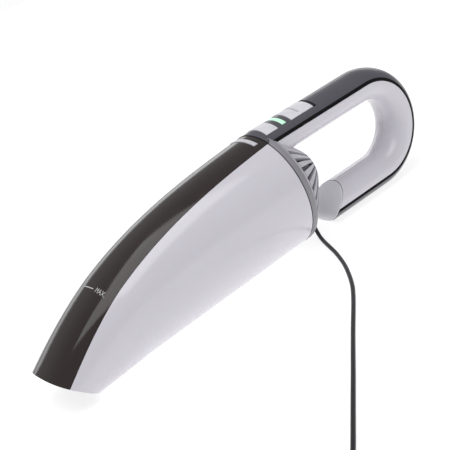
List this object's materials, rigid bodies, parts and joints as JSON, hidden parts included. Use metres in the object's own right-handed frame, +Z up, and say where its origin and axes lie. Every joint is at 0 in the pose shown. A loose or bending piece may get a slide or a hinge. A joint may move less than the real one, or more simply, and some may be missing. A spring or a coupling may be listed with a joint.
{
  "type": "handheld vacuum",
  "caption": "Cordless handheld vacuum with a long clip-off dust cup, a smoked window, a vented motor dome, an open loop handle and a charging lead.",
  "frame": {"origin": "on the floor under the middle of the vacuum, in its upright resting pose", "axes": "+X runs from the nozzle to the loop handle, +Z is up, +Y is the side with the screws"},
  "size_m": [0.4658, 0.3907, 0.1058],
  "materials": {
    "white_shell": "moulded ABS with a polished surface",
    "smoked_window": "smoked see-through styrene, polished",
    "dark_cover": "dark grey moulded ABS, satin gloss",
    "grey_plastic": "light grey moulded ABS",
    "dome_plastic": "pale grey moulded ABS",
    "button_white": "white moulded ABS buttons",
    "light_guide": "lit green light guide",
    "dark_plastic": "black glass-filled nylon and ABS",
    "seal_rubber": "soft rubber",
    "pleat_cloth": "pleated filter paper",
    "steel": "zinc-plated steel",
    "bronze": "sintered bronze",
    "copper": "enamelled copper on steel laminations",
    "magnet": "ferrite",
    "board": "green solder mask on glass laminate",
    "cell_wrap": "blue shrink wrap on steel cells",
    "wire_red": "silicone wire",
    "cord_black": "black flexible sheath",
    "adapter_black": "black moulded polycarbonate",
    "plated": "nickel-plated brass"
  },
  "bodies": {
    "housing": {"cup_seal": "seal_rubber", "front_ring": "grey_plastic", "vent_dome": "dome_plastic", "left_shell": "white_shell", "right_shell": "white_shell", "free_end_cap": "dome_plastic", "spine_cover": "dark_cover", "mode_spring": "steel", "light_bar": "light_guide", "circuit_board": "board", "slide_switch": "dark_plastic", "tact_switch": "dark_plastic", "upper_cell": "cell_wrap", "lower_cell": "cell_wrap", "cell_contacts": "plated", "wire_harness": "wire_red", "fan_housing": "dark_plastic", "motor_plate": "dark_plastic", "motor_can": "steel", "motor_end_cap": "dark_plastic", "motor_magnets": "magnet", "front_bushing": "bronze", "rear_bushing": "bronze", "motor_sleeve": "seal_rubber", "motor_screws": "steel", "plate_screws": "steel", "shell_screws": "steel", "charge_jack": "dark_plastic", "charger_plug": "cord_black", "strain_relief": "cord_black", "charging_cord": "cord_black", "cord_coil": "cord_black", "adapter_lead": "cord_black", "cord_tie": "seal_rubber", "wall_adapter": "adapter_black", "adapter_pins": "plated"},
    "dust_cup": {"cup_shell": "white_shell", "cup_window": "smoked_window", "inlet_duct": "dark_plastic", "latch_springs": "steel"},
    "flap": {"inlet_flap": "seal_rubber"},
    "release": {"release_button": "grey_plastic"},
    "filter": {"filter_basket": "dark_plastic", "filter_pleats": "pleat_cloth", "filter_seal": "seal_rubber"},
    "rotor": {"motor_shaft": "steel", "fan_impeller": "grey_plastic", "armature": "copper"},
    "slider": {"power_slider": "button_white"},
    "mode_key": {"mode_button": "button_white"}
  },
  "joints": [
    {"name": "cup_slide", "type": "slide", "parent": "housing", "child": "dust_cup", "axis": [-1, 0, 0], "range_m": [0, 0.07]},
    {"name": "flap_hinge", "type": "hinge", "parent": "dust_cup", "child": "flap", "pos_m": [-0.12675, 0, 0.0307], "axis": [0, -1, 0], "range_deg": [0, 70]},
    {"name": "release_press", "type": "slide", "parent": "dust_cup", "child": "release", "axis": [0, 0, -1], "range_m": [0, 0.0015], "stiffness_N_per_m": 600, "deforming": ["latch_springs"]},
    {"name": "filter_pull", "type": "slide", "parent": "housing", "child": "filter", "axis": [-1, 0, 0], "range_m": [0, 0.025]},
    {"name": "rotor_spin", "type": "hinge", "parent": "housing", "child": "rotor", "pos_m": [0.03905, 0, 0.0533], "axis": [1, 0, 0], "continuous": true},
    {"name": "power_slide", "type": "slide", "parent": "housing", "child": "slider", "axis": [1, 0, 0], "range_m": [0, 0.003]},
    {"name": "mode_press", "type": "slide", "parent": "housing", "child": "mode_key", "axis": [0, 0, -1], "range_m": [0, 0.0012], "stiffness_N_per_m": 700, "deforming": ["mode_spring"]}
  ]
}
